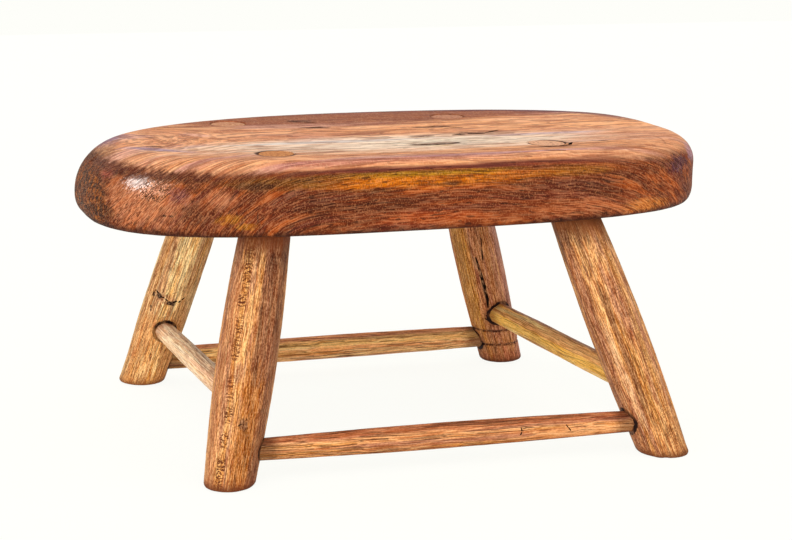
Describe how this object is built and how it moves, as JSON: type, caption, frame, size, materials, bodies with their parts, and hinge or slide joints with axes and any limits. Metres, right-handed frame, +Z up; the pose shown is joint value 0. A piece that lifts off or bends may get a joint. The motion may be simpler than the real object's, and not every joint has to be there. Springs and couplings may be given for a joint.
{
  "type": "milking stool",
  "caption": "Low oval plank stool on splayed round legs, with tapered through tenons and round stretchers between the feet.",
  "frame": {"origin": "on the floor, under the middle of the stool's bounding box, which is also the middle of the seat", "axes": "+Z up, +X along the seat to its right end, +Y to the rear, so the front long side faces -Y"},
  "size_m": [0.448, 0.3133, 0.212],
  "materials": {
    "seat_wood": "old oiled hardwood, dark red brown, worn paler along the middle of the top",
    "front_left_leg_wood": "bare whittled wood with a soft sheen, golden brown, redder on one side",
    "front_right_leg_wood": "bare whittled wood with a soft sheen, golden brown",
    "rear_left_leg_wood": "bare whittled wood, yellowish tan with a small knot",
    "rear_right_leg_wood": "bare whittled wood, brown with a long drying crack and scored rings",
    "front_stretcher_wood": "whittled dowel, red brown on top and tan below, with dark open grain",
    "rear_stretcher_wood": "whittled dowel, tan with dark open grain",
    "left_stretcher_wood": "whittled dowel, pale peach with a grey upper side",
    "right_stretcher_wood": "whittled dowel, golden yellow with a purple brown upper side"
  },
  "bodies": {
    "root": {"seat": "seat_wood", "front_left_leg": "front_left_leg_wood", "front_right_leg": "front_right_leg_wood", "rear_left_leg": "rear_left_leg_wood", "rear_right_leg": "rear_right_leg_wood", "front_stretcher": "front_stretcher_wood", "rear_stretcher": "rear_stretcher_wood", "left_stretcher": "left_stretcher_wood", "right_stretcher": "right_stretcher_wood"}
  },
  "joints": []
}
